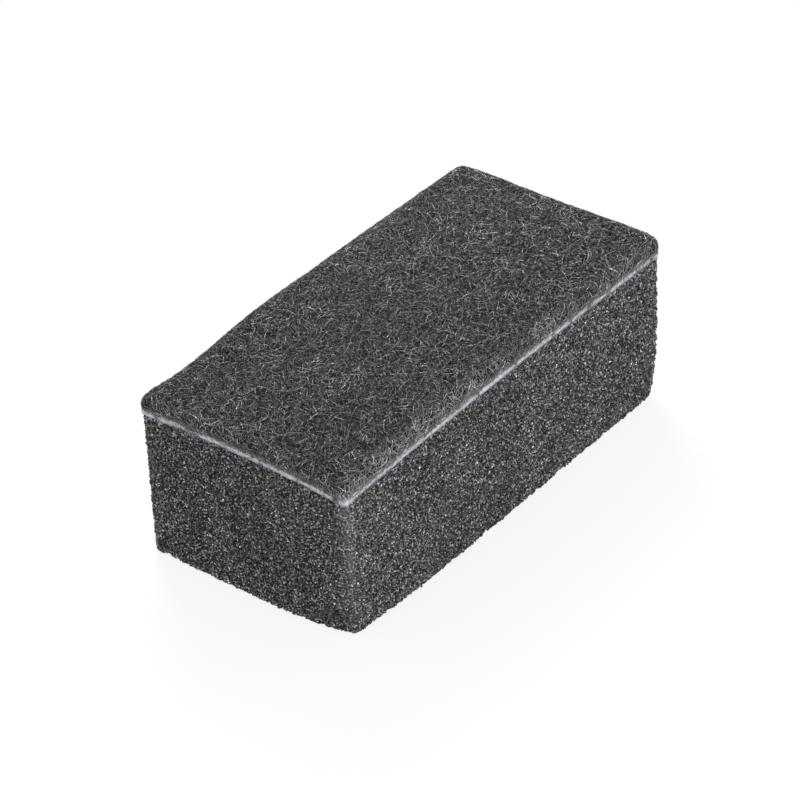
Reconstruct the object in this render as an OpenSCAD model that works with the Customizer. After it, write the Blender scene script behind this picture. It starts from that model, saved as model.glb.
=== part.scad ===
// Cleaning sponge: a block of open-cell foam with a felt pad glued over its top.
// X runs along the block and Z up. The origin is the middle of the face it rests on.

/* [Block] */
// Length of the block at the glued joint
block_l = 131; // [90:0.5:180]
// Width of the block at the glued joint
block_w = 65.4; // [45:0.5:95]
// Height of the foam at mid-block, from the rest face to the glue
foam_h = 45; // [25:0.5:70]

/* [Glue] */
// Thickness of the glue film
glue_t = 0.9; // [0.4:0.1:2]
// Most that the glue squeezes out of the joint
glue_bead = 0.35; // [0.1:0.05:1]

/* [Felt] */
// Thickness of the felt pad at mid-block
felt_t = 4.5; // [2:0.1:8]
// Radius of the felt's upper edge
felt_edge_r = 3; // [0.5:0.1:5]
// How far the felt's cut side swells out over the glue
felt_bulge = 0.7; // [0:0.05:1.5]
// Radius of the felt's corners above the glue
felt_corner_r = 1.6; // [0.9:0.1:5]
// How far the felt's cut side wanders in and out
felt_wander = 0.25; // [0:0.05:0.6]

/* [Crown] */
// How far the joint falls from mid-block to each corner
corner_droop = 1.5; // [0:0.1:3]
// How sharply the joint bends down towards its corners
droop_power = 2.5; // [1.5:0.1:4]

/* [Foam corners] */
// Radius of the upright corners at the glued joint
corner_r = 0.9; // [0.5:0.1:4]
// Radius at the rest face, front left
front_left_r = 2.5; // [1:0.5:10]
// Radius at the rest face, front right
front_right_r = 2.5; // [1:0.5:10]
// Radius at the rest face, back left
back_left_r = 1.2; // [1:0.5:10]
// Radius at the rest face, back right
back_right_r = 2; // [1:0.5:10]
// How late the corners open out on the way down
corner_flare = 4; // [1:0.1:5]
// Radius of the foam's lower edge
foam_edge_r = 0.4; // [0.2:0.1:2]

/* [Saw run-out] */
// Foam lost from the left end at its front lower corner
front_left_cut = 3.4; // [0:0.5:9]
// Foam lost from the front side at its left lower corner
front_side_cut = 1.9; // [0:0.1:4]
// Foam lost from the right end at its front lower corner
front_right_cut = 3; // [0:0.5:9]

/* [Hidden] */

foam_colour = [0.33, 0.33, 0.33];
glue_colour = [0.76, 0.76, 0.79];
felt_colour = [0.29, 0.3, 0.31];

// Corner order is anticlockwise from the back right one
CORNERS = [[1, 1], [-1, 1], [-1, -1], [1, -1]];
arc_steps = 6;
long_steps = 28;
short_steps = 14;
side_steps = [long_steps, short_steps, long_steps, short_steps];

// Shares of the outline at which the rings of a face lie
face_rings = [0.95, 0.84, 0.66, 0.44, 0.2];
// Shares of the foam's height at which its sides have a ring, from the joint down
foam_levels = [0, 0.2, 0.4, 0.56, 0.7, 0.82, 0.91];
// Directions in which the felt's upper edge turns over
edge_turns = [15, 40, 65, 90];

// Where each cut starts, as a share of the half width or half length
end_cut_from = 0.2;
side_cut_from = 0.4;
right_cut_from = 0.1;
// How fast a cut fades towards the joint
left_cut_fade = 2.6;
right_cut_fade = 7;

// Soft dents and swellings of the felt: place as shares of half length and half width, reach, height
felt_dents = [
    [-1, 1, 8, 0.8],
    [-0.72, 1, 12, -1.0],
    [-0.28, 1, 14, 0.5],
    [1, 1, 13, 0.5],
    [1, -1, 12, 1.5],
    [1, 0.15, 15, -0.6]
];

bead_seed = 41;
bead_least = 0.15;
wander_seed = 7;

// Shares of the felt's cut side at which it has a ring, and how much of the bulge each has
side_levels = [[0.35, 0.65], [1, 1]];

// A fillet stays inside its wall
top_r = min(felt_edge_r, felt_t * 0.68);

function falls(share, from) = pow(max(0, (share - from) / (1 - from)), 2);

// One rounded outline, grown by grow on every side
function outline(radii, grow = 0) = [
    for (k = [0 : 3])
        let (r = radii[k], c = CORNERS[k], nxt = CORNERS[(k + 1) % 4], r2 = radii[(k + 1) % 4],
             mid = [c[0] * (block_l / 2 - r), c[1] * (block_w / 2 - r)],
             mid2 = [nxt[0] * (block_l / 2 - r2), nxt[1] * (block_w / 2 - r2)],
             turn = 90 * k + 90,
             last = mid + (r + grow) * [cos(turn), sin(turn)],
             first = mid2 + (r2 + grow) * [cos(turn), sin(turn)])
        each concat(
            [for (i = [0 : arc_steps])
                let (a = 90 * k + 90 * i / arc_steps) mid + (r + grow) * [cos(a), sin(a)]],
            [for (i = [1 : side_steps[k] - 1]) last + (first - last) * i / side_steps[k]])
];

joint_radii = [corner_r, corner_r, corner_r, corner_r];
low_radii = [back_right_r, back_left_r, front_left_r, front_right_r];
joint_line = outline(joint_radii);
outward = outline(joint_radii, 1) - joint_line;
ring_n = len(joint_line);

// Height of the foam's glued face
function joint_z(p) =
    let (u = abs(2 * p[0] / block_l), v = abs(2 * p[1] / block_w))
    foam_h - corner_droop * pow(u, droop_power) * pow(v, droop_power);

function dent_at(p, d) =
    let (dx = p[0] - d[0] * block_l / 2, dy = p[1] - d[1] * block_w / 2)
    d[3] * exp(-(dx * dx + dy * dy) / (d[2] * d[2]));

function total(list, i = 0) = i < len(list) ? list[i] + total(list, i + 1) : 0;

// Height of the felt's upper face
function felt_z(p) = joint_z(p) + glue_t + felt_t + total([for (d = felt_dents) dent_at(p, d)]);

// The foam's lower corners as they were sawn: s is 0 at the joint and 1 at the rest face
function sawn(p, s) =
    let (u = 2 * p[0] / block_l, v = 2 * p[1] / block_w,
         left = pow(max(0, -u), 6), right = pow(max(0, u), 6), front = pow(max(0, -v), 6),
         dx = front_left_cut * pow(s, left_cut_fade) * left * falls(-v, end_cut_from)
            - front_right_cut * pow(s, right_cut_fade) * right * falls(-v, right_cut_from),
         dy = front_side_cut * pow(s, left_cut_fade) * front * falls(-u, side_cut_from))
    p + [dx, dy];

function foam_line(s) =
    let (open = pow(s, corner_flare), radii = joint_radii + (low_radii - joint_radii) * open)
    [for (p = outline(radii)) sawn(p, s)];

// An outline drawn in by the same amount on every side
function drawn_in(p, by) = [p[0] * (1 - 2 * by / block_l), p[1] * (1 - 2 * by / block_w)];

function at_z(line, z) = [for (p = line) [p[0], p[1], z]];

// Rings of a face from its rim to its middle, at heights given by kind
function face_z(p, kind) =
    kind == "foam" ? joint_z(p) : kind == "glue" ? joint_z(p) + glue_t : felt_z(p);
function face(line, kind) = [
    for (s = face_rings) [for (p = line) let (q = p * s) [q[0], q[1], face_z(q, kind)]]
];
function rim(line, kind) = [for (p = line) [p[0], p[1], face_z(p, kind)]];

function backwards(list) = [for (i = [len(list) - 1 : -1 : 0]) list[i]];

// A closed skin over rings stacked from the bottom to the top, closed to a middle point at each end.
// Its first low_bands bands are split the other way, so that two pieces share the very same joint.
module skin(rings, low_mid, top_mid, low_bands = 0) {
    n = ring_n;
    bands = len(rings) - 1;
    low_i = len(rings) * n;
    top_i = low_i + 1;
    walls = [
        for (r = [0 : bands - 1]) for (i = [0 : n - 1])
            let (j = (i + 1) % n, a = r * n, b = a + n)
            each r < low_bands
                ? [[a + i, b + i, a + j], [a + j, b + i, b + j]]
                : [[a + i, b + i, b + j], [a + i, b + j, a + j]]
    ];
    low_faces = [for (i = [0 : n - 1]) [low_i, i, (i + 1) % n]];
    top_faces = [for (i = [0 : n - 1]) [top_i, bands * n + (i + 1) % n, bands * n + i]];
    points = concat([for (ring = rings) each ring], [[0, 0, low_mid], [0, 0, top_mid]]);
    polyhedron(points, concat(walls, low_faces, top_faces), convexity = 4);
}

// Open-cell foam, sawn a little out of true at two lower corners
module foam_block() {
    low_line = foam_line(1);
    edge = [for (a = [0, 45, 90]) let (by = foam_edge_r * (1 - sin(a)), z = foam_edge_r * (1 - cos(a)))
        at_z([for (p = low_line) drawn_in(p, by)], z)];
    sides = [
        for (s = backwards(foam_levels))
            let (line = foam_line(s))
            [for (i = [0 : ring_n - 1])
                [line[i][0], line[i][1], foam_edge_r + (1 - s) * (joint_z(joint_line[i]) - foam_edge_r)]]
    ];
    color(foam_colour) skin(concat(edge, sides, face(joint_line, "foam")), 0, joint_z([0, 0]));
}

// Glue film that keeps to the crown of the joint and squeezes out unevenly round its edge
module adhesive_layer() {
    push = rands(bead_least, 1, ring_n, bead_seed);
    bead = [
        for (h = [0.25, 0.75])
            [for (i = [0 : ring_n - 1])
                let (p = joint_line[i] + outward[i] * glue_bead * push[i])
                [p[0], p[1], joint_z(joint_line[i]) + glue_t * h]]
    ];
    rings = concat(
        backwards(face(joint_line, "foam")), [rim(joint_line, "foam")], bead,
        [rim(joint_line, "glue")], face(joint_line, "glue"));
    color(glue_colour) skin(rings, joint_z([0, 0]), joint_z([0, 0]) + glue_t, len(face_rings));
}

// Felt pad with a soft upper edge, a cut side that wanders and a few dents
module felt_pad() {
    drift = rands(-1, 1, ring_n, wander_seed);
    swollen = outline([felt_corner_r, felt_corner_r, felt_corner_r, felt_corner_r], felt_bulge);
    side_line = [
        for (i = [0 : ring_n - 1])
            let (soft = (drift[i] + drift[(i + 1) % ring_n] + drift[(i + 2) % ring_n]) / 3)
            swollen[i] + outward[i] * felt_wander * (soft - 1) / 2
    ];
    side = [
        for (level = side_levels)
            [for (i = [0 : ring_n - 1])
                let (q = joint_line[i], p = q + (side_line[i] - q) * level[1],
                     low = joint_z(q) + glue_t)
                [p[0], p[1], low + level[0] * (felt_z(p) - top_r - low)]]
    ];
    edge = [
        for (a = edge_turns)
            [for (p = side_line)
                let (q = drawn_in(p, top_r * (1 - cos(a)))) [q[0], q[1], felt_z(p) - top_r * (1 - sin(a))]]
    ];
    top_line = [for (p = side_line) drawn_in(p, top_r)];
    rings = concat(
        backwards(face(joint_line, "glue")), [rim(joint_line, "glue")], side, edge,
        face(top_line, "felt"));
    color(felt_colour) skin(rings, joint_z([0, 0]) + glue_t, felt_z([0, 0]), len(face_rings));
}

foam_block();
adhesive_layer();
felt_pad();
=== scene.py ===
# %% [markdown]
# # A cleaning sponge of foam and felt
# The real object is a hand-sized block of dark grey open-cell foam. A felt pad of the
# same size is glued over its top, and the glue shows as a pale, uneven line.
# This script dresses the plain solids of that block, which arrive as a fixed frame:
# nothing here moves or resizes them.

# %% Load the fixed frame
import math

import bpy
import numpy as np
from mathutils import Matrix, Vector
from mathutils.bvhtree import BVHTree


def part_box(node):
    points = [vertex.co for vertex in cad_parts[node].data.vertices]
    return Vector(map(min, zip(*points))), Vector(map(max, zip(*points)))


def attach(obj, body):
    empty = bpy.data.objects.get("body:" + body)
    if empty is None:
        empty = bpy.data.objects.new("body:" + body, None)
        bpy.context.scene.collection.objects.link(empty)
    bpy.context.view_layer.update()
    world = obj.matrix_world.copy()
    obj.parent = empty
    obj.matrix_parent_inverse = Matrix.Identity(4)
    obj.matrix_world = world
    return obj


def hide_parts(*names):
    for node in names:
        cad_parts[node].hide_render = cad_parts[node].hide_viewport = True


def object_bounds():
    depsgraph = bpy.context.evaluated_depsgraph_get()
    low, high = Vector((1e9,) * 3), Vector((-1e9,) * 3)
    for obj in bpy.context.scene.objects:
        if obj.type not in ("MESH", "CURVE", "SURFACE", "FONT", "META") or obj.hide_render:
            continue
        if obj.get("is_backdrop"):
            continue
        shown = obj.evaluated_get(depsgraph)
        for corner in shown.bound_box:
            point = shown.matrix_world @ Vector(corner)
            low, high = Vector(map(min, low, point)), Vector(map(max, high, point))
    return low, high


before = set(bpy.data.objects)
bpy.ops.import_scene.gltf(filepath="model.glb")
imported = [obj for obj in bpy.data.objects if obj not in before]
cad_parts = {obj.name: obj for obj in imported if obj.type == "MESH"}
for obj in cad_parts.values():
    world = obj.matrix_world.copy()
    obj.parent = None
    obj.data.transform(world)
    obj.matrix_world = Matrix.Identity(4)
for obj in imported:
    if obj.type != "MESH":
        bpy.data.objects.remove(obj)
cad_low, cad_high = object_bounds()
MM = 0.001
print("solids:", sorted(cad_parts))
print("size in mm:", [round((h - l) / MM, 1) for l, h in zip(cad_low, cad_high)])

# %% [markdown]
# ## The camera
# The photograph was taken from some distance with a long lens, a little more than a
# third of the way up, and the camera was tilted slightly to one side. The view is set
# first, so that every later choice of scale can be judged in it.

# %% Place the camera
AIM_HEIGHT = 22.7 * MM
CAMERA_DISTANCE = 972.3 * MM
CAMERA_TURN = math.radians(-50.24)
CAMERA_RISE = math.radians(36.09)
CAMERA_ROLL = math.radians(-2.73)
CAMERA_LENS = 168.75
VIEW_SHIFT = (-0.0119, -0.0020)
VIEW_REACH = 20


def view_axes(turn, rise, roll):
    """The camera's right, up and backward directions."""
    back = Vector((math.sin(turn) * math.cos(rise), -math.cos(turn) * math.cos(rise), math.sin(rise)))
    right = Vector((math.cos(turn), math.sin(turn), 0))
    up = back.cross(right)
    tilted_right = math.cos(roll) * right + math.sin(roll) * up
    tilted_up = -math.sin(roll) * right + math.cos(roll) * up
    return tilted_right, tilted_up, back


right, up, back = view_axes(CAMERA_TURN, CAMERA_RISE, CAMERA_ROLL)
lens = bpy.data.cameras.new("camera")
lens.lens = CAMERA_LENS
lens.shift_x, lens.shift_y = VIEW_SHIFT
lens.clip_end = VIEW_REACH
camera = bpy.data.objects.new("camera", lens)
spot = Vector((0, 0, AIM_HEIGHT)) + back * CAMERA_DISTANCE
camera.matrix_world = Matrix.Translation(spot) @ Matrix((right, up, back)).transposed().to_4x4()
bpy.context.scene.collection.objects.link(camera)
bpy.context.scene.camera = camera
bpy.context.scene.view_settings.view_transform = "Standard"
print("camera at", [round(v, 3) for v in spot])

# %% [markdown]
# ## Small helpers
# Operators act on everything that is selected, so each step starts by selecting only
# what it works on. A material is a short chain of nodes, so one helper adds a node and
# sets its values, and a few more stand for the nodes that every material here needs.

# %% Helpers for selection, modifiers and points
SAME_PLACE = 0.001 * MM
UPWARDS = Vector((0, 0, 1))
DOWNWARDS = Vector((0, 0, -1))


def select_only(piece):
    """Select one object and make it the active one."""
    bpy.ops.object.select_all(action="DESELECT")
    piece.select_set(True)
    bpy.context.view_layer.objects.active = piece


def select_faces(piece, chosen):
    """Select these faces of a piece, and nothing else, for the edit-mode operators."""
    select_only(piece)
    bpy.ops.object.mode_set(mode="EDIT")
    bpy.ops.mesh.select_mode(type="FACE")
    bpy.ops.mesh.select_all(action="DESELECT")
    bpy.ops.object.mode_set(mode="OBJECT")
    piece.data.polygons.foreach_set("select", np.asarray(chosen, dtype=bool))


def finish_modifier(piece, name, kind, **values):
    """Add a modifier with these values and apply it at once."""
    select_only(piece)
    modifier = piece.modifiers.new(name, kind)
    for key, value in values.items():
        setattr(modifier, key, value)
    bpy.ops.object.modifier_apply(modifier=name)


def get_points(mesh):
    """All vertex places of a mesh as an array."""
    points = np.empty(len(mesh.vertices) * 3)
    mesh.vertices.foreach_get("co", points)
    return points.reshape(-1, 3)


def set_points(mesh, points):
    """Write vertex places back to a mesh."""
    mesh.vertices.foreach_set("co", points.ravel())
    mesh.update()


def set_value(mesh, name, values):
    """Store one number for each vertex, which a material can read."""
    layer = mesh.attributes.new(name, "FLOAT", "POINT")
    layer.data.foreach_set("value", np.asarray(values, dtype=np.float32))


def triangles(piece):
    """How many triangles a mesh has."""
    return sum(len(face.vertices) - 2 for face in piece.data.polygons)


def merged_copy(node, name):
    """A copy of a solid in which the loose triangles share their corners."""
    piece = bpy.data.objects.new(name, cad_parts[node].data.copy())
    piece.data.materials.clear()
    bpy.context.scene.collection.objects.link(piece)
    select_only(piece)
    bpy.ops.object.mode_set(mode="EDIT")
    bpy.ops.mesh.select_all(action="SELECT")
    bpy.ops.mesh.remove_doubles(threshold=SAME_PLACE)
    bpy.ops.object.mode_set(mode="OBJECT")
    return piece


def search_tree(piece):
    """A tree that finds the nearest place on a piece."""
    return BVHTree.FromObject(piece, bpy.context.evaluated_depsgraph_get())


# %% Helpers for materials
def opaque(tone):
    """A grey or a colour as the four numbers that a node takes."""
    return (*tone, 1) if isinstance(tone, tuple) else (tone, tone, tone, 1)


def new_material(name):
    """A new material and its node tree, which holds one Principled shader."""
    material = bpy.data.materials.new(name)
    material.use_nodes = True
    return material, material.node_tree


def fill_socket(tree, socket, value):
    """Link a socket to another node's output, or give it a plain value."""
    if isinstance(value, bpy.types.NodeSocket):
        tree.links.new(value, socket)
    else:
        socket.default_value = value


def add_node(tree, kind, inputs=None, **settings):
    """Add a node, set its settings, and link or set its inputs."""
    node = tree.nodes.new(kind)
    for key, value in settings.items():
        setattr(node, key, value)
    for key, value in (inputs or {}).items():
        fill_socket(tree, node.inputs[key], value)
    return node


def finish_surface(tree, colour, roughness, shine):
    """Give the Principled shader its colour, and say how rough and how shiny it is."""
    shader = tree.nodes["Principled BSDF"]
    fill_socket(tree, shader.inputs["Base Color"], colour)
    shader.inputs["Roughness"].default_value = roughness
    shader.inputs["Specular IOR Level"].default_value = shine
    return shader


def object_place(tree):
    """The place of a point on its own object."""
    return add_node(tree, "ShaderNodeTexCoord").outputs["Object"]


def stored(tree, name):
    """The number that the mesh carries under this name."""
    return add_node(tree, "ShaderNodeAttribute", attribute_name=name).outputs["Fac"]


def maths(tree, operation, *numbers):
    """What one Math node makes of these numbers."""
    return add_node(tree, "ShaderNodeMath", dict(enumerate(numbers)), operation=operation).outputs[0]


def map_range(tree, value, start, end=(0, 1), kind="LINEAR"):
    """A number carried over from the range start to the range end."""
    limits = {"From Min": start[0], "From Max": start[1], "To Min": end[0], "To Max": end[1]}
    node = add_node(tree, "ShaderNodeMapRange", {"Value": value, **limits}, interpolation_type=kind)
    return node.outputs["Result"]


def mix_colours(tree, share, first, second):
    """The first colour where share is 0, and the second where it is 1."""
    node = add_node(tree, "ShaderNodeMix", {0: share, 6: first, 7: second}, data_type="RGBA")
    return node.outputs[2]


def colour_ramp(tree, factor, stops):
    """A ramp with a grey or a colour at each stop."""
    ramp = add_node(tree, "ShaderNodeValToRGB", {"Fac": factor})
    points = ramp.color_ramp.elements
    while len(points) < len(stops):
        points.new(0.5)
    for point, (place, tone) in zip(points, stops):
        point.position = place
        point.color = opaque(tone)
    return ramp.outputs["Color"]


def soft_noise(tree, place, scale, detail, roughness=0.5):
    """Soft noise round a middle of 0.5."""
    node = add_node(
        tree, "ShaderNodeTexNoise",
        {"Vector": place, "Scale": scale, "Detail": detail, "Roughness": roughness})
    return node.outputs["Fac"]


def grain_factor(tree, place, size, ratio):
    """A factor that changes from grain to grain: its highest is ratio times its lowest."""
    grains = add_node(tree, "ShaderNodeTexVoronoi", {"Vector": place, "Scale": 1 / size})
    return maths(tree, "POWER", ratio, maths(tree, "SUBTRACT", grains.outputs["Color"], 0.5))


def multiply(tree, first, second):
    """The product of two numbers or colours, one channel at a time."""
    node = add_node(tree, "ShaderNodeVectorMath", {0: first, 1: second}, operation="MULTIPLY")
    return node.outputs["Vector"]


# %% [markdown]
# ## Floor and light
# The photograph shows the block cut out on plain white. A pale floor carries the soft
# shadow, and fades into a white backdrop away from the block. One broad lamp stands in
# front of the long side, so that side is a little brighter than the short one. A small
# lamp close behind the block brightens the far part of the felt, and the even white sky
# does the rest.

# %% Lay the floor
FLOOR_SIZE = 6.0
FLOOR_TONE = 0.95
FLOOR_ROUGH = 0.9
FADE_REACH = (0.06, 0.20)
FADE_WHITE = (0.8, 1)
WHITE = (1, 1, 1, 1)


def seen_by_camera(tree):
    """1 for rays from the camera or off something shiny, and 0 for all others."""
    path = add_node(tree, "ShaderNodeLightPath")
    return maths(tree, "MAXIMUM", path.outputs["Is Camera Ray"], path.outputs["Is Glossy Ray"])


bpy.ops.mesh.primitive_plane_add(size=FLOOR_SIZE, location=(0, 0, 0))
floor = bpy.context.object
floor.name = "floor"
material, tree = new_material("floor_paint")
shader = finish_surface(tree, opaque(FLOOR_TONE), FLOOR_ROUGH, shine=0.0)
reach = add_node(tree, "ShaderNodeVectorMath", {0: object_place(tree)}, operation="LENGTH")
fade = map_range(tree, reach.outputs["Value"], FADE_REACH, FADE_WHITE, "SMOOTHSTEP")
white_share = maths(tree, "MULTIPLY", fade, seen_by_camera(tree))
glow = add_node(tree, "ShaderNodeEmission", {"Color": WHITE, "Strength": 1.0})
blend = add_node(
    tree, "ShaderNodeMixShader",
    {0: white_share, 1: shader.outputs["BSDF"], 2: glow.outputs["Emission"]})
tree.links.new(blend.outputs["Shader"], tree.nodes["Material Output"].inputs["Surface"])
floor.data.materials.append(material)
floor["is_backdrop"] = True
print("floor laid, white beyond", FADE_REACH[1], "m")

# %% Set the sky and the lamps
SKY_LIGHT = 0.68
KEY_LAMP = {"turn": -14, "rise": 38, "distance": 2.2, "size": 0.9, "power": 20.0}
BACK_LAMP = {"turn": 140, "rise": 42, "distance": 0.36, "size": 0.2, "power": 1.3}

world = bpy.data.worlds.new("sky")
world.use_nodes = True
bpy.context.scene.world = world
tree = world.node_tree
sky = tree.nodes["Background"]
sky.inputs["Color"].default_value = WHITE
strength = map_range(tree, seen_by_camera(tree), (0, 1), (SKY_LIGHT, 1.0))
tree.links.new(strength, sky.inputs["Strength"])


def add_lamp(name, turn, rise, distance, size, power):
    """A square soft lamp that looks at the block from a direction in degrees."""
    light = bpy.data.lights.new(name, "AREA")
    light.size = size
    light.energy = power
    lamp = bpy.data.objects.new(name, light)
    across, upward, away = view_axes(math.radians(turn), math.radians(rise), 0)
    middle = Vector((0, 0, AIM_HEIGHT))
    turned = Matrix((across, upward, away)).transposed().to_4x4()
    lamp.matrix_world = Matrix.Translation(middle + away * distance) @ turned
    bpy.context.scene.collection.objects.link(lamp)
    return lamp


add_lamp("key_lamp", **KEY_LAMP)
add_lamp("back_lamp", **BACK_LAMP)
print("lamps and sky set")

# %% [markdown]
# ## The foam block
# The foam is a froth of cells about a millimetre across, and the saw has cut through
# them, so every face is a net of thin struts round open pits. A bump pattern would leave
# the edges of the block smooth. Here the net is real geometry: the block's skin is
# remeshed into points one cell apart, the points are shaken out of line, and the dual
# of their triangles gives one small polygon for each point. Each polygon is then poked
# inwards into a pit.

# %% Shake the skin of the block into cells
CELL = 0.97 * MM
SHAKE = 0.36
SHAKE_ROUNDS = 3
SHAKE_SEED = 11


def hold_to(piece, node):
    """Draw a piece back onto the solid that it dresses."""
    finish_modifier(
        piece, "hold", "SHRINKWRAP", target=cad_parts[node], wrap_method="NEAREST_SURFACEPOINT")


foam = merged_copy("foam_block", "foam")
finish_modifier(foam, "even", "REMESH", mode="VOXEL", voxel_size=CELL)
finish_modifier(foam, "split", "TRIANGULATE", quad_method="BEAUTY")
rng = np.random.default_rng(SHAKE_SEED)
for _ in range(SHAKE_ROUNDS):
    points = get_points(foam.data)
    set_points(foam.data, points + rng.uniform(-SHAKE, SHAKE, points.shape) * CELL)
    hold_to(foam, "foam_block")
    select_only(foam)
    bpy.ops.object.mode_set(mode="EDIT")
    bpy.ops.mesh.select_all(action="SELECT")
    bpy.ops.mesh.beautify_fill(angle_limit=math.pi)
    bpy.ops.object.mode_set(mode="OBJECT")
print("foam points:", len(foam.data.vertices))

# %% Turn the points into cells with the dual mesh
group = bpy.data.node_groups.new("dual_cells", "GeometryNodeTree")
group.interface.new_socket("Geometry", in_out="INPUT", socket_type="NodeSocketGeometry")
group.interface.new_socket("Geometry", in_out="OUTPUT", socket_type="NodeSocketGeometry")
start = group.nodes.new("NodeGroupInput")
dual = group.nodes.new("GeometryNodeDualMesh")
end = group.nodes.new("NodeGroupOutput")
group.links.new(start.outputs[0], dual.inputs[0])
group.links.new(dual.outputs[0], end.inputs[0])
finish_modifier(foam, "cells", "NODES", node_group=group)
print("foam cells:", len(foam.data.polygons))

# %% Poke every open cell into a pit
TOP_MARGIN = 0.25 * MM
FACES_UP = 0.9
MERGE_ANGLE = math.radians(8)

glue_tree = search_tree(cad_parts["adhesive_layer"])


def joint_under(x, y):
    """Height of the foam's glued face at a place seen from above."""
    hit = glue_tree.ray_cast(Vector((x, y, 0)), UPWARDS)[0]
    return hit.z if hit else cad_high[2]


joint_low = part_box("adhesive_layer")[0].z
under_glue = [
    face.normal.z > FACES_UP and face.center.z > joint_low - TOP_MARGIN
    for face in foam.data.polygons]
select_faces(foam, under_glue)
bpy.ops.object.mode_set(mode="EDIT")
bpy.ops.mesh.dissolve_limited(angle_limit=MERGE_ANGLE)
bpy.ops.mesh.select_all(action="INVERT")
bpy.ops.object.mode_set(mode="OBJECT")
rim_count = len(foam.data.vertices)
bpy.ops.object.mode_set(mode="EDIT")
bpy.ops.mesh.poke(offset=0.0, center_mode="MEDIAN")
bpy.ops.mesh.select_all(action="SELECT")
bpy.ops.mesh.quads_convert_to_tris()
bpy.ops.object.mode_set(mode="OBJECT")
print("rim points:", rim_count, "pits:", len(foam.data.vertices) - rim_count)

# %% [markdown]
# ## Depth of the pits
# The poke left each pit's bottom level with its rim. Every bottom now goes inwards by
# its own amount. Next to an edge of the block the pits stay shallow, or those of two
# faces would run into each other. The rim points move in and out a little as well,
# because the saw tears the struts at different heights, and this gives the block its
# finely ragged outline.

# %% Sink the pits and ruffle the struts
PIT_SEED = 23
PIT_DEPTH = 0.62 * MM
PIT_SPREAD = 0.16 * MM
PIT_LIMITS = (0.2 * MM, 1.0 * MM)
EDGE_DEPTH = 0.25 * MM
EDGE_FLATNESS = 0.9
LIFT_LOW = -0.10 * MM
LIFT_HIGH = 0.32 * MM
mesh = foam.data
points = get_points(mesh)
count = len(points)
is_pit = np.arange(count) >= rim_count
normals = np.empty(count * 3)
mesh.vertices.foreach_get("normal", normals)
normals = normals.reshape(-1, 3)

edges = np.empty(len(mesh.edges) * 2, dtype=np.int64)
mesh.edges.foreach_get("vertices", edges)
ends = edges.reshape(-1, 2).T
both_ways = (ends, ends[::-1])
flatness = np.ones(count)
for a, b in both_ways:
    agree = (normals[a] * normals[b]).sum(1)
    np.minimum.at(flatness, a, agree)

rng = np.random.default_rng(PIT_SEED)
depth = np.clip(rng.normal(PIT_DEPTH, PIT_SPREAD, count), *PIT_LIMITS)
depth = np.where(flatness < EDGE_FLATNESS, np.minimum(depth, EDGE_DEPTH), depth)
is_open_rim = np.zeros(count, dtype=bool)
for a, b in both_ways:
    is_open_rim[a[is_pit[b]]] = True
lift = np.where(is_open_rim, rng.uniform(LIFT_LOW, LIFT_HIGH, count), 0)
shift = np.where(is_pit, -depth, lift)
moved = points + normals * shift[:, None]
moved[:, 2] = np.maximum(moved[:, 2], 0)
set_points(mesh, moved)
print("deepest pit in mm:", round(float(depth[is_pit].max() / MM), 2))

# %% [markdown]
# ## Colour of the foam
# A strut is dark grey plastic with a slight shine, and a pit is painted nearly black, as
# painted shade, because little light gets out of it. Where struts meet, a small knot faces
# the light and looks far brighter than the thin parts, so the foam sparkles in painted
# glints. Each point of the mesh carries one number for this. The tones vary by a large
# factor and not by an even step, so they are drawn from a lognormal spread. The number is
# a root of the tone, and the material raises it to that power again: this keeps a bright
# knot small, because the number fades evenly along each triangle. The thin skins between
# struts are finer than the mesh, so the material adds them as small grains, each with a
# factor of its own: a painted sparkle of glints and shade.
# The upright edges carry a painted highlight, the one nearest the camera most, and
# specks of glue cling to the struts just below the joint.

# %% Store the tone of each strut, and the flecks of glue below the joint
STRUT_TONE = 0.074
STRUT_SPREAD = 0.35
# The pits' near-black tone is painted shade.
PIT_SHADE_TONE = 0.0075
TONE_ROOT = 2.6
TONE_LIMITS = (0.01, 0.6)
FLECK_REACH = 2.0 * MM
FLECK_SHARE = 0.22
FLECK_ZONE = 4 * MM
FLECK_INWARD = 0.985
# A painted highlight along the upright edges, strongest on the edge nearest the camera.
FRONT_EDGE_HIGHLIGHT = 0.27
EDGE_HIGHLIGHT_ELSEWHERE = 0.08
EDGE_HIGHLIGHT_REACH = (2.6 * MM, 4.4 * MM)
foam_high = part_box("foam_block")[1]


def edge_highlight_at(points, x_side, y_side):
    """1 on one upright edge of the block, fading over a reach that widens downwards."""
    share = np.clip(1 - points[:, 2] / foam_high.z, 0, 1)
    reach = EDGE_HIGHLIGHT_REACH[0] + (EDGE_HIGHLIGHT_REACH[1] - EDGE_HIGHLIGHT_REACH[0]) * share
    gap_x = foam_high.x - x_side * points[:, 0]
    gap_y = foam_high.y - y_side * points[:, 1]
    return np.exp(-(gap_x ** 2 + gap_y ** 2) / reach ** 2)


tone = STRUT_TONE * np.exp(rng.normal(0, STRUT_SPREAD, count))
tone = np.where(is_pit, PIT_SHADE_TONE, np.clip(tone, *TONE_LIMITS))
# The struts' tone is raised along the upright edges by that painted highlight.
edge_highlight = FRONT_EDGE_HIGHLIGHT * edge_highlight_at(points, -1, -1)
for x_side, y_side in ((1, -1), (1, 1), (-1, 1)):
    edge_highlight = edge_highlight + EDGE_HIGHLIGHT_ELSEWHERE * edge_highlight_at(points, x_side, y_side)
set_value(mesh, "strut", (tone * (1 + edge_highlight)) ** (1 / TONE_ROOT))
set_value(mesh, "painted_edge_highlight", np.clip(edge_highlight, 0, 1))

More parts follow.
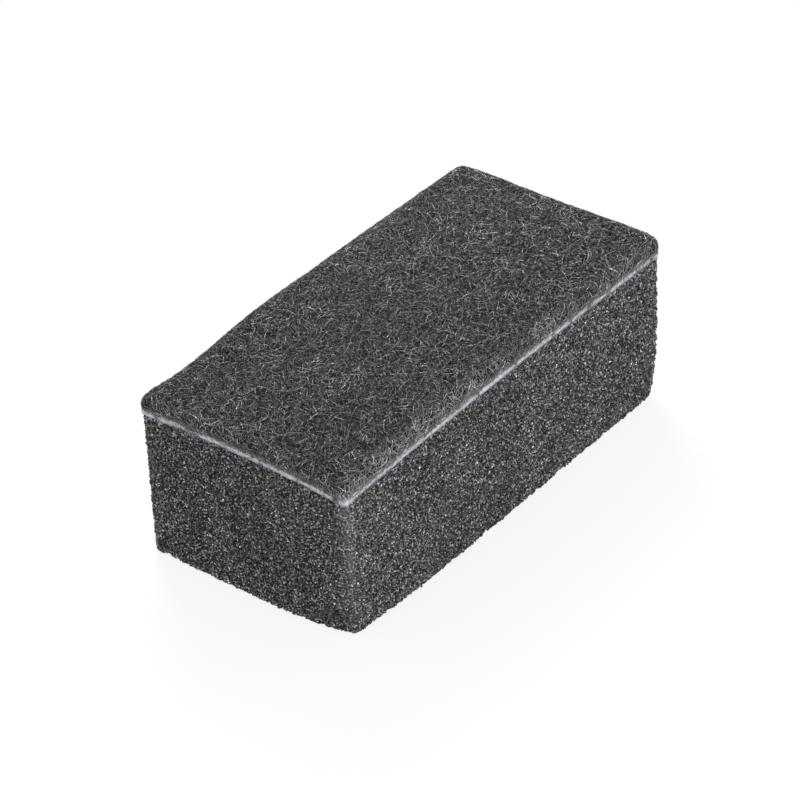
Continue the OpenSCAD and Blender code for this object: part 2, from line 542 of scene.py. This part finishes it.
near_top = points[:, 2] > joint_low - FLECK_ZONE
below = np.full(count, 1.0)
for i in np.flatnonzero(near_top & is_open_rim):
    x, y, z = points[i]
    below[i] = joint_under(x * FLECK_INWARD, y * FLECK_INWARD) - z
fleck = (below < FLECK_REACH) & (rng.random(count) < FLECK_SHARE * (1 - below / FLECK_REACH))
set_value(mesh, "fleck", fleck.astype(float))
print("flecks of glue:", int(fleck.sum()))

# %% Paint the foam
# The grains below paint a sparkle of glints and shade over the struts.
GRAIN = 0.36 * MM
GRAIN_GLINT_RATIO = 220.0
CLOUD_SCALE = 70.0
CLOUD_RANGE = (0.3, 0.7)
CLOUD_TONES = (0.86, 1.14)
EDGE_HIGHLIGHT_TONE = 0.22
FLECK_TONE = (0.42, 0.42, 0.46)
FOAM_ROUGH = 0.5
FOAM_SHINE = 0.15
material, tree = new_material("foam_open_cell")
place = object_place(tree)
base = maths(tree, "POWER", stored(tree, "strut"), TONE_ROOT)
glint_grained = multiply(tree, base, grain_factor(tree, place, GRAIN, GRAIN_GLINT_RATIO))
cloud = soft_noise(tree, place, CLOUD_SCALE, detail=3.0, roughness=0.55)
toned = multiply(tree, glint_grained, map_range(tree, cloud, CLOUD_RANGE, CLOUD_TONES))
# The painted highlight along the upright edges, mixed over the foam's tone.
highlighted = mix_colours(tree, stored(tree, "painted_edge_highlight"), toned, opaque(EDGE_HIGHLIGHT_TONE))
flecked = mix_colours(tree, stored(tree, "fleck"), highlighted, opaque(FLECK_TONE))
finish_surface(tree, flecked, FOAM_ROUGH, FOAM_SHINE)
foam.data.materials.append(material)
select_only(foam)
bpy.ops.object.shade_flat()
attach(foam, "root")
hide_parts("foam_block")
print("foam triangles:", triangles(foam))

# %% [markdown]
# ## The felt's body
# The pad is a thick mat of needled fibres. Its body is a soft slab with a rounded upper
# edge and a lumpy face. It is remeshed finely from the plain solid, so it keeps that
# solid's outline, and small lumps push it in and out. Each point also stores its height
# over the glue, because the cut side is paler low down. The loose strands come later as
# pieces of their own.

# %% Shape the felt's body
FELT_VOXEL = 0.62 * MM
FELT_LUMP = 1.8 * MM
FELT_SWELL = 0.35 * MM
FELT_LEVEL = 0.62


def roughen(piece, name, size, height, level):
    """Push a skin in and out by clouds of this size: it stays where they equal level."""
    clouds = bpy.data.textures.new(name, "CLOUDS")
    clouds.noise_scale = size
    clouds.noise_depth = 2
    finish_modifier(
        piece, name, "DISPLACE",
        texture=clouds, texture_coords="LOCAL", strength=height, mid_level=level)


felt = merged_copy("felt_pad", "felt")
finish_modifier(felt, "even", "REMESH", mode="VOXEL", voxel_size=FELT_VOXEL)
hold_to(felt, "felt_pad")
roughen(felt, "felt_lumps", FELT_LUMP, FELT_SWELL, FELT_LEVEL)
print("felt triangles:", triangles(felt))

# %% Store how far each point of the felt lies above the glue
INWARD_X = 0.985
INWARD_Y = 0.97
ABOVE_ALL = cad_high[2] + 0.01


def film_top(x, y):
    """Where a ray from above meets the glue film, a little inwards from a place."""
    return glue_tree.ray_cast(Vector((x * INWARD_X, y * INWARD_Y, ABOVE_ALL)), DOWNWARDS)[0]


def above_glue(x, y, z):
    """Height of a place over the top of the glue film below it."""
    hit = film_top(x, y)
    return z - hit.z if hit else 0.0


heights = [above_glue(*point) for point in get_points(felt.data)]
set_value(felt.data, "above_glue", heights)
print("felt stands over the glue by up to, in mm:", round(max(heights) / MM, 2))

# %% [markdown]
# ## Colour of the felt's body
# Between the strands one looks down into the mat, where the shade is painted: the body is
# nearly black, with fine grey fibres that cross in it. They are far too thin for a mesh and
# are painted: the contour line of a soft noise is a thin curl, and four noises of different
# sizes laid over each other look like a tangle. Painted shade in small holes, and glints,
# are multiplied over them. Low on the cut side the felt is a paler grey.

# %% Paint the felt's body
HOLE_SCALE = 1400.0
# The dark steps of the holes are painted shade between the fibres.
HOLE_SHADE_STEPS = [(0.40, 0.06), (0.48, 1.0), (0.65, 1.2)]
GLINT = 0.25 * MM
GLINT_RATIO = 26.0
# The body's near-black tone is painted shade deep in the mat.
DEEP_SHADE_TONE = (0.010, 0.0105, 0.011)
FIBRE_TONE = 0.05
FIBRE_SCALES = (420.0, 560.0, 700.0, 900.0)
FIBRE_SHIFT = (0.31, 0.17, 0.23)
FIBRE_WIDTH = 0.030
FIBRE_CORE = 0.3
SIDE_TONE = (0.150, 0.156, 0.172)
SIDE_RATIO = 4.0
SIDE_FROM = 0.2 * MM
SIDE_TO = 2.4 * MM
FELT_ROUGH = 0.9
FELT_SHINE = 0.1


def fine_fibres(tree, place):
    """Thin curled lines that cross each other: contour lines of several soft noises."""
    most = None
    for k, scale in enumerate(FIBRE_SCALES):
        shift = tuple(along * k for along in FIBRE_SHIFT)
        moved = add_node(tree, "ShaderNodeVectorMath", {0: place, 1: shift}, operation="ADD")
        soft = soft_noise(tree, moved.outputs[0], scale, detail=1.0, roughness=0.4)
        off_middle = maths(tree, "ABSOLUTE", maths(tree, "SUBTRACT", soft, 0.5))
        line = map_range(tree, off_middle, (FIBRE_WIDTH, FIBRE_WIDTH * FIBRE_CORE))
        most = line if most is None else maths(tree, "MAXIMUM", most, line)
    return most


def felt_factor(tree, place):
    """Glints along the fibres, and painted shade in the small holes between them."""
    hole_shade = colour_ramp(tree, soft_noise(tree, place, HOLE_SCALE, detail=2.0), HOLE_SHADE_STEPS)
    return multiply(tree, hole_shade, grain_factor(tree, place, GLINT, GLINT_RATIO))


material, tree = new_material("felt_mat")
place = object_place(tree)
share = map_range(tree, stored(tree, "above_glue"), (SIDE_TO, SIDE_FROM))
fibres = mix_colours(tree, fine_fibres(tree, place), opaque(DEEP_SHADE_TONE), opaque(FIBRE_TONE))
top = multiply(tree, felt_factor(tree, place), fibres)
cut = multiply(tree, grain_factor(tree, place, GLINT, SIDE_RATIO), SIDE_TONE)
finish_surface(tree, mix_colours(tree, share, top, cut), FELT_ROUGH, FELT_SHINE)
felt.data.materials.append(material)
select_only(felt)
bpy.ops.object.shade_smooth()
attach(felt, "root")
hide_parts("felt_pad")
print("felt body painted")

# %% [markdown]
# ## The felt's strands
# On the real pad one sees thousands of curled plastic fibres that cross in every
# direction. They are curves here, drawn on a flat sheet as large as the unrolled pad. The
# sheet is bent over the pad's rounded edge, and each point is then laid on the felt's
# body by looking for the nearest place there. A triangle is run along every curve, so
# that a strand costs only twenty triangles.

# %% Bend a flat sheet over the felt
WRAP = 6.4 * MM
EDGE_ROUND = 3.0 * MM
RAY_FROM = 1
TINY = 1e-9

felt_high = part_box("felt_pad")[1]
half_flat = np.array([felt_high.x, felt_high.y]) - EDGE_ROUND
felt_tree = search_tree(felt)


def felt_top(places):
    """Height of the felt's upper face at each of these places."""
    starts = [Vector((x, y, RAY_FROM)) for x, y in places.reshape(-1, 2)]
    tops = [felt_tree.ray_cast(start, DOWNWARDS)[0].z for start in starts]
    return np.array(tops).reshape(places.shape[:-1] + (1,))


def unroll(flat_points):
    """Bend points of a flat sheet over the felt's rounded edge."""
    inner = np.clip(flat_points, -half_flat, half_flat)
    over = flat_points - inner
    far = np.linalg.norm(over, axis=-1, keepdims=True)
    out = over / np.maximum(far, TINY)
    far = np.abs(WRAP - np.abs(far - WRAP))
    turn = np.clip(far / EDGE_ROUND, 0, math.pi / 2)
    drop = np.maximum(far - EDGE_ROUND * math.pi / 2, 0)
    level = felt_top(inner) - EDGE_ROUND + EDGE_ROUND * np.cos(turn) - drop
    return np.concatenate([inner + out * EDGE_ROUND * np.sin(turn), level], axis=-1)


def lay_on_felt(paths, heights):
    """Places in space of flat paths laid on the felt at these heights."""
    rough = unroll(paths)
    laid = np.empty_like(rough)
    for index in np.ndindex(rough.shape[:2]):
        near, normal, _, _ = felt_tree.find_nearest(Vector(rough[index]))
        laid[index] = near + normal * heights[index]
    return laid


print("flat part of the felt in mm:", np.round(2 * half_flat / MM, 1))

# %% [markdown]
# ## Where each strand lies
# Middles drawn at random would crowd in some places and leave holes in others. Here each
# middle is one fixed uneven step away from the last, which fills the sheet evenly, and
# some jitter hides the pattern. Needling combs the fibres, so one heading is commoner
# than the rest. A strand that would run past the lower edge is folded back, and the ends
# of every strand are buried in the mat.

# %% Scatter the paths of the strands
STRAND_COUNT = 9800
STRAND_PARTS = 3
WRAP_LOSS = 1.2 * MM
EVEN_STEPS = np.array([0.7548776662, 0.5698402910])
EVEN_JITTER = 0.4 * MM
NEEDLE_WAY = math.radians(40)
NEEDLE_PULL = 1.6
WAVER = 0.09
LIFT_IN_MM = (0.02, 0.30)
SWAY_IN_MM = 0.05
BURIED = 0.06 * MM
ARCH_POWER = 0.6


def strand_paths(seed, lengths, curl):
    """Flat paths of curled strands, scattered over the unrolled felt."""
    rng = np.random.default_rng(seed)
    reach = half_flat + WRAP - rng.uniform(0, WRAP_LOSS, (STRAND_COUNT, 1))
    even = (np.arange(STRAND_COUNT)[:, None] * EVEN_STEPS + rng.uniform(0, 1, 2)) % 1
    place = (2 * even - 1) * reach + rng.uniform(-EVEN_JITTER, EVEN_JITTER, (STRAND_COUNT, 2))
    heading = rng.uniform(0, 2 * math.pi, STRAND_COUNT)
    heading = NEEDLE_WAY + np.arctan2(np.sin(heading), NEEDLE_PULL * np.cos(heading))
    bend = rng.normal(0, curl, STRAND_COUNT)
    step = rng.uniform(*lengths, STRAND_COUNT) / STRAND_PARTS
    paths = [np.zeros((STRAND_COUNT, 2))]
    for _ in range(STRAND_PARTS):
        paths.append(paths[-1] + step[:, None] * np.stack([np.cos(heading), np.sin(heading)], 1))
        heading = heading + bend + rng.normal(0, WAVER, STRAND_COUNT)
    paths = np.stack(paths, 1)
    paths = paths - paths.mean(axis=1, keepdims=True) + place[:, None]
    past = np.maximum(np.abs(paths) - reach[:, None], 0)
    return paths - 2 * past * np.sign(paths)


def strand_heights(seed):
    """How far above the felt each point of a strand lies: its ends are buried."""
    rng = np.random.default_rng(seed)
    share = np.linspace(0, 1, STRAND_PARTS + 1)
    top = rng.uniform(*LIFT_IN_MM, (STRAND_COUNT, 1)) * MM
    arch = np.sin(math.pi * share) ** ARCH_POWER
    sway = rng.normal(0, SWAY_IN_MM, (STRAND_COUNT, STRAND_PARTS + 1)) * MM
    return top * arch + sway - BURIED


print("strands in a coat:", STRAND_COUNT)

# %% [markdown]
# ## The haze and painted sheen along the edges
# Where the felt turns down to the glue it looks paler and a little blue. This haze grows
# over the rounded edge and eases off just above the glue. It is strongest on the long front
# side, towards the left, and weaker on the left end: these sides face the lamp and the
# camera, and that extra is a painted sheen. A few heights along the way are written down,
# and the values between them are read off a straight line.

# %% Measure the haze along the felt's edges
# The front and left values hold a painted sheen where the rounded edge faces the lamp and the camera.
HAZE_PLACES = np.array([-1.5, 0.2, 1.1, 2.3, 2.8]) * MM
FRONT_HAZE_AND_SHEEN = (0, 0.065, 0.130, 0.220, 0.115)
LEFT_HAZE_AND_SHEEN = (0, 0.025, 0.070, 0.095, 0.045)
HIDDEN_HAZE = (0, 0.020, 0.035, 0.040, 0.050)
HAZE_FADE = 0.44


def haze_and_sheen_at(places):
    """How much paler the felt is at its edges, seen from above, with painted sheen: the front one
    most.
    """
    x, y = places.T
    fade = 1 - HAZE_FADE * x / felt_high.x
    front = fade * np.interp(-y - half_flat[1], HAZE_PLACES, FRONT_HAZE_AND_SHEEN)
    left = np.interp(-x - half_flat[0], HAZE_PLACES, LEFT_HAZE_AND_SHEEN)
    hidden = np.interp(np.maximum(x - half_flat[0], y - half_flat[1]), HAZE_PLACES, HIDDEN_HAZE)
    return np.maximum(np.maximum(front, left), hidden)


front_middle = np.array([[0, -felt_high.y]])
print("haze at the middle of the front edge:", np.round(haze_and_sheen_at(front_middle), 3))

# %% [markdown]
# ## The strands as solid fibres
# Fibres that are only painted on the body would leave the outline of the felt smooth, so
# each strand is a real tube. It thins out at its ends, and each one has its own
# thickness and its own tone. The tone and the haze with its painted sheen are stored on
# its points, where the material reads them.

# %% Run a triangle along every path
STRAND_SIZE = 0.042 * MM
STRAND_CORNERS = (90, 210, 330)
STRAND_LIMITS = (0.01, 0.7)
TONE_SPREAD = 0.5
THICKNESS = (0.75, 1.3)
TAPER = 0.45
TAPER_POWER = 4


def run_outline(curve, places, capped):
    """A mesh piece made by running a closed outline along every line of a curve."""
    bpy.ops.curve.primitive_bezier_circle_add()
    profile = bpy.context.object
    profile.data.splines.clear()
    outline = profile.data.splines.new("POLY")
    outline.points.add(len(places) - 1)
    for point, (x, y) in zip(outline.points, places):
        point.co = (x, y, 0, 1)
    outline.use_cyclic_u = True
    curve.bevel_mode = "OBJECT"
    curve.bevel_object = profile
    curve.use_fill_caps = capped
    piece = bpy.data.objects.new(curve.name, curve)
    bpy.context.scene.collection.objects.link(piece)
    select_only(piece)
    bpy.ops.object.convert(target="MESH")
    bpy.data.objects.remove(profile)
    return piece


def strands(name, seed, lengths, tone, curl):
    """One piece of many strands, as triangular tubes along curves."""
    laid = lay_on_felt(strand_paths(seed, lengths, curl), strand_heights(seed + 1))
    curve = bpy.data.curves.new(name, "CURVE")
    curve.dimensions = "3D"
    rng = np.random.default_rng(seed + 2)
    for path in laid:
        spline = curve.splines.new("POLY")
        spline.points.add(STRAND_PARTS)
        spline.points.foreach_set("co", np.insert(path, 3, 1, axis=1).ravel())
        thick = rng.uniform(*THICKNESS)
        for point, share in zip(spline.points, np.linspace(-1, 1, STRAND_PARTS + 1)):
            point.radius = thick * (1 - TAPER * share ** TAPER_POWER)
    turns = [math.radians(corner) for corner in STRAND_CORNERS]
    outline = [(STRAND_SIZE * math.cos(turn), STRAND_SIZE * math.sin(turn)) for turn in turns]
    piece = run_outline(curve, outline, capped=True)
    per_strand = len(piece.data.vertices) // STRAND_COUNT
    tones = tone * np.exp(rng.normal(0, TONE_SPREAD, STRAND_COUNT))
    set_value(piece.data, "tone", np.repeat(np.clip(tones, *STRAND_LIMITS), per_strand))
    set_value(piece.data, "haze", haze_and_sheen_at(get_points(piece.data)[:, :2]))
    print(name, "triangles:", triangles(piece), "points a strand:", per_strand)
    return piece


# %% [markdown]
# ## Colour of the strands
# Most fibres are dark and dull, and some catch the light. Three coats through each other
# say this: a nearly black one, a dark grey one and a pale one. The first two share the
# painted shade of the holes and the glints of the body. The pale one has mild glints only,
# so that its strands read as long lines. Soft patches make parts of the felt a little
# darker or lighter.

# %% Paint the strands
STRAND_TINT = (0.97, 1.0, 1.0)
HAZE_TINT = (0.96, 1.0, 1.07)
HAIR_RATIO = 20.0
STRAND_ROUGH = 0.6
STRAND_SHINE = 0.05
PATCH_SCALE = 150.0
PATCH_RANGE = (0.35, 0.65)
PATCH_SHARE = 0.16
HAZE_SHARE = 0.45


def strand_material(name, factor):
    """A strand's own tone times a factor made from its place, and its haze and painted sheen over
    that.
    """
    material, tree = new_material(name)
    place = object_place(tree)
    cloud = soft_noise(tree, place, PATCH_SCALE, detail=1.0)
    patch = map_range(tree, cloud, PATCH_RANGE, (1 - PATCH_SHARE, 1 + PATCH_SHARE))
    toned = multiply(tree, multiply(tree, stored(tree, "tone"), factor(tree, place)), patch)
    # The haze and painted sheen, laid over the strand's tone.
    uneven = map_range(tree, cloud, PATCH_RANGE, (1 - HAZE_SHARE, 1 + HAZE_SHARE))
    haze_and_sheen = multiply(tree, stored(tree, "haze"), uneven)
    base = add_node(
        tree, "ShaderNodeVectorMath",
        {0: multiply(tree, toned, STRAND_TINT), 1: multiply(tree, haze_and_sheen, HAZE_TINT)},
        operation="ADD")
    finish_surface(tree, base.outputs["Vector"], STRAND_ROUGH, STRAND_SHINE)
    return material


def hair_factor(tree, place):
    """Mild glints, so that a long strand reads as one line."""
    return grain_factor(tree, place, GLINT, HAIR_RATIO)


dull = strand_material("felt_strand", felt_factor)
clear = strand_material("felt_hair", hair_factor)
print("materials of the strands:", dull.name, clear.name)

# %% Lay the coats of strands
COATS = [
    ("felt_strands_low", 101, (1.8 * MM, 4.4 * MM), 0.012, 0.10, dull),
    ("felt_strands_mid", 202, (1.8 * MM, 4.4 * MM), 0.068, 0.08, dull),
    ("felt_strands_top", 303, (2.0 * MM, 5.2 * MM), 0.255, 0.09, clear)]
for name, seed, lengths, tone, curl, paint in COATS:
    piece = strands(name, seed, lengths, tone, curl)
    piece.data.materials.append(paint)
    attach(piece, "root")

# %% [markdown]
# ## The glue
# The film between foam and felt stays the plain solid, which is right inside the joint
# and only needs a finish. What the eye sees is a ragged pale line along the edge, where
# glue was squeezed out over foam and felt and torn away in places. A fringe covers that
# edge: a flat tube that follows the joint and is roughened. Each of its points knows how
# far it lies inside the glue's ragged border, and the material is pale there and grey
# with torn foam elsewhere. The pale line is widest at a drop on the front left corner.

# %% Follow the edge of the joint
EDGE_STEP = 0.3 * MM
CORNER_ROUND = 0.6 * MM
CORNER_STEP = 15
CORNERS = [(1, 1), (-1, 1), (-1, -1), (1, -1)]
foam_half = np.array([foam_high.x, foam_high.y])


def joint_edge(step):
    """Places along the edge of the block, seen from above, one step apart."""
    side = foam_half - CORNER_ROUND
    places = []
    for k, corner in enumerate(CORNERS):
        middle = side * corner
        for angle in np.radians(np.arange(0, 90, CORNER_STEP) + 90 * k):
            places.append(middle + CORNER_ROUND * np.array([math.cos(angle), math.sin(angle)]))
        turn = math.radians(90 * k + 90)
        outwards = CORNER_ROUND * np.array([math.cos(turn), math.sin(turn)])
        start, stop = middle + outwards, side * CORNERS[(k + 1) % 4] + outwards
        steps = int(np.linalg.norm(stop - start) / step)
        places += [start + (stop - start) * i / steps for i in range(steps)]
    return np.array(places)


def joint_height(x, y):
    """Middle of the glue film at a place on the edge."""
    return (joint_under(x * INWARD_X, y * INWARD_Y) + film_top(x, y).z) / 2


edge = joint_edge(EDGE_STEP)
print("places along the joint:", len(edge))

# %% Run a flat fringe along it
FRINGE_HALF = 1.2 * MM
FRINGE_DEPTH = 0.36 * MM
FRINGE_SIDES = 10
FRINGE_LUMP = 0.6 * MM
FRINGE_SWELL = 0.3 * MM
THIN_SHARE = 0.35
THIN_REACH = 3.0 * MM


def fringe_size(x, y):
    """The fringe thins out at every corner but the front left one."""
    if x < 0 and y < 0:
        return 1.0
    from_corner = math.hypot(foam_half[0] - abs(x), foam_half[1] - abs(y))
    return 1 - THIN_SHARE * math.exp(-(from_corner / THIN_REACH) ** 2)


curve = bpy.data.curves.new("glue_fringe", "CURVE")
curve.dimensions = "3D"
curve.twist_mode = "Z_UP"
line = curve.splines.new("POLY")
line.points.add(len(edge) - 1)
line.use_cyclic_u = True
for point, (x, y) in zip(line.points, edge):
    point.co = (x, y, joint_height(x, y), 1)
    point.radius = fringe_size(x, y)
turns = [2 * math.pi * i / FRINGE_SIDES for i in range(FRINGE_SIDES)]
outline = [(FRINGE_DEPTH * math.cos(turn), FRINGE_HALF * math.sin(turn)) for turn in turns]
fringe = run_outline(curve, outline, capped=False)
bpy.ops.object.mode_set(mode="EDIT")
bpy.ops.mesh.select_all(action="SELECT")
bpy.ops.mesh.normals_make_consistent(inside=False)
bpy.ops.object.mode_set(mode="OBJECT")
roughen(fringe, "glue_rough", FRINGE_LUMP, FRINGE_SWELL, level=0.5)
print("fringe triangles:", triangles(fringe))

# %% [markdown]
# ## The glue's ragged border
# Squeezed-out glue is nowhere the same. Its line swells and thins over centimetres,
# ripples over millimetres, drifts up and down, and is torn away in places. Waves whose
# lengths don't fit each other give that uneven run, and the gaps are listed by their
# place along a side. All this becomes one number on each point of the fringe: how far
# the point lies inside the border.

# %% Store how far each point lies inside the glue's border
GLUE_HALF = 0.45 * MM
GLUE_TIP = 0.45 * MM
TIP_REACH = 1.1 * MM
TIP_PLACE = 0.7 * MM
GLUE_WAVE = 0.16 * MM
WAVE_LENGTHS = (7 * MM, 5 * MM, 11 * MM)
GLUE_RIPPLE = 0.13 * MM
RIPPLE_LENGTHS = (1.7 * MM, 1.3 * MM, 3.1 * MM)
GLUE_LEVELS = ((-0.12, 0.20), (0.14, 0.16))
GLUE_DRIFT = 0.15 * MM
DRIFT_LENGTHS = (2.6 * MM, 2.2 * MM, 9 * MM)
DRIFT_PHASE = 1.0
FRONT_FROM = 0.97
LEFT_FROM = 0.98
GAP_DEPTH = 0.8 * MM
GAPS_FRONT = (
    (0.40, 0.8), (0.52, 0.6), (0.64, 0.9), (0.70, 0.5), (0.76, 0.8), (0.82, 1.8), (0.972, 0.6))
GAPS_LEFT = ((0.085, 0.9), (0.25, 2.2), (0.60, 0.6), (0.963, 0.8))


def crossed_waves(x, y, lengths, phase=0.0):
    """A smooth number between -1 and 1 that never quite repeats along the edge."""
    along, across, skew = lengths
    return math.sin(x / along + phase) * math.sin(y / across + x / skew)


def torn_at(along, whole, gaps):
    """1 in the middle of a gap: each gap has a share of the whole side and a reach in mm."""
    return max(math.exp(-((along - share * whole) / (reach * MM)) ** 2) for share, reach in gaps)


def glue_half(x, y):
    """Half the height of the pale line: a drop at the front left corner, torn at the gaps."""
    torn = 0
    if y < -foam_half[1] * FRONT_FROM:
        torn = torn_at(x + foam_half[0], 2 * foam_half[0], GAPS_FRONT)
    if x < -foam_half[0] * LEFT_FROM:
        torn = torn_at(foam_half[1] - y, 2 * foam_half[1], GAPS_LEFT)
    wave = crossed_waves(x, y, WAVE_LENGTHS) * GLUE_WAVE
    ripple = crossed_waves(x, y, RIPPLE_LENGTHS) * GLUE_RIPPLE
    from_tip = math.hypot(x + foam_half[0] - TIP_PLACE, y + foam_half[1])
    tip = GLUE_TIP * math.exp(-(from_tip / TIP_REACH) ** 2)
    return GLUE_HALF + wave + ripple + tip - GAP_DEPTH * torn


def glue_middle(x, y):
    """Height of the middle of the pale line, which drifts up and down a little."""
    u, v = (x / foam_half[0] + 1) / 2, (y / foam_half[1] + 1) / 2
    (low_left, low_right), (high_left, high_right) = GLUE_LEVELS
    level = (1 - v) * ((1 - u) * low_left + u * low_right) + v * ((1 - u) * high_left + u * high_right)
    drift = crossed_waves(x, y, DRIFT_LENGTHS, DRIFT_PHASE)
    return joint_height(x, y) + level * MM + GLUE_DRIFT * drift


points = get_points(fringe.data)
inside = [glue_half(x, y) - abs(z - glue_middle(x, y)) for x, y, z in points]
set_value(fringe.data, "inside_glue", inside)
print("points inside the glue's border:", sum(value > 0 for value in inside), "of", len(inside))

# %% [markdown]
# ## Colour of the glue
# Dried glue is a pale, cold grey with cloudy spots. On the fringe, a fine noise is added
# to the distance from the border before it turns into a colour, so that the border frays
# at about the scale of the foam's struts.

# %% Paint the glue
GLUE_COLOUR = (0.505, 0.513, 0.542)
GLUE_STEPS = [(0.35, (0.335, 0.342, 0.365)), (0.5, GLUE_COLOUR), (0.65, (0.62, 0.628, 0.66))]
GLUE_SCALE = 700.0
FILM_ROUGH = 0.6
FILM_SHINE = 0.5
SHRED_SCALE = 1300.0
RAGGED = 2.8 * MM
BORDER = 0.42 * MM
FRINGE_TONE = (0.098, 0.101, 0.111)
FRINGE_RATIO = 30.0
FRINGE_ROUGH = 0.7
FRINGE_SHINE = 0.2


def glue_colour(tree, place):
    """Pale glue, a little darker and lighter in small clouds."""
    cloud = soft_noise(tree, place, GLUE_SCALE, detail=4.0, roughness=0.65)
    return colour_ramp(tree, cloud, GLUE_STEPS)


pale, tree = new_material("glue_pale")
finish_surface(tree, glue_colour(tree, object_place(tree)), FILM_ROUGH, FILM_SHINE)
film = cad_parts["adhesive_layer"]
film.data.materials.clear()
film.data.materials.append(pale)

torn, tree = new_material("glue_torn")
place = object_place(tree)
shreds = soft_noise(tree, place, SHRED_SCALE, detail=4.0, roughness=0.7)
ragged = map_range(tree, shreds, (0, 1), (-RAGGED / 2, RAGGED / 2))
share = map_range(
    tree, maths(tree, "ADD", stored(tree, "inside_glue"), ragged), (-BORDER, BORDER))
grey = multiply(tree, grain_factor(tree, place, GRAIN, FRINGE_RATIO), FRINGE_TONE)
mixed = mix_colours(tree, share, grey, glue_colour(tree, place))
finish_surface(tree, mixed, FRINGE_ROUGH, FRINGE_SHINE)
fringe.data.materials.append(torn)
select_only(fringe)
bpy.ops.object.shade_smooth()
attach(fringe, "root")
print("glue painted")

# %% [markdown]
# ## The sizes
# Struts, lumps and strands stand a little proud of the plain solids. The box round the
# dressed part is written down next to the box round the solids, to compare them.

visual_low, visual_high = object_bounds()
grown = [
    [round((c - v) / MM, 2) for c, v in zip(cad_low, visual_low)],
    [round((v - c) / MM, 2) for c, v in zip(cad_high, visual_high)]]
print("dressed part stands proud of the solids by, in mm:", grown)
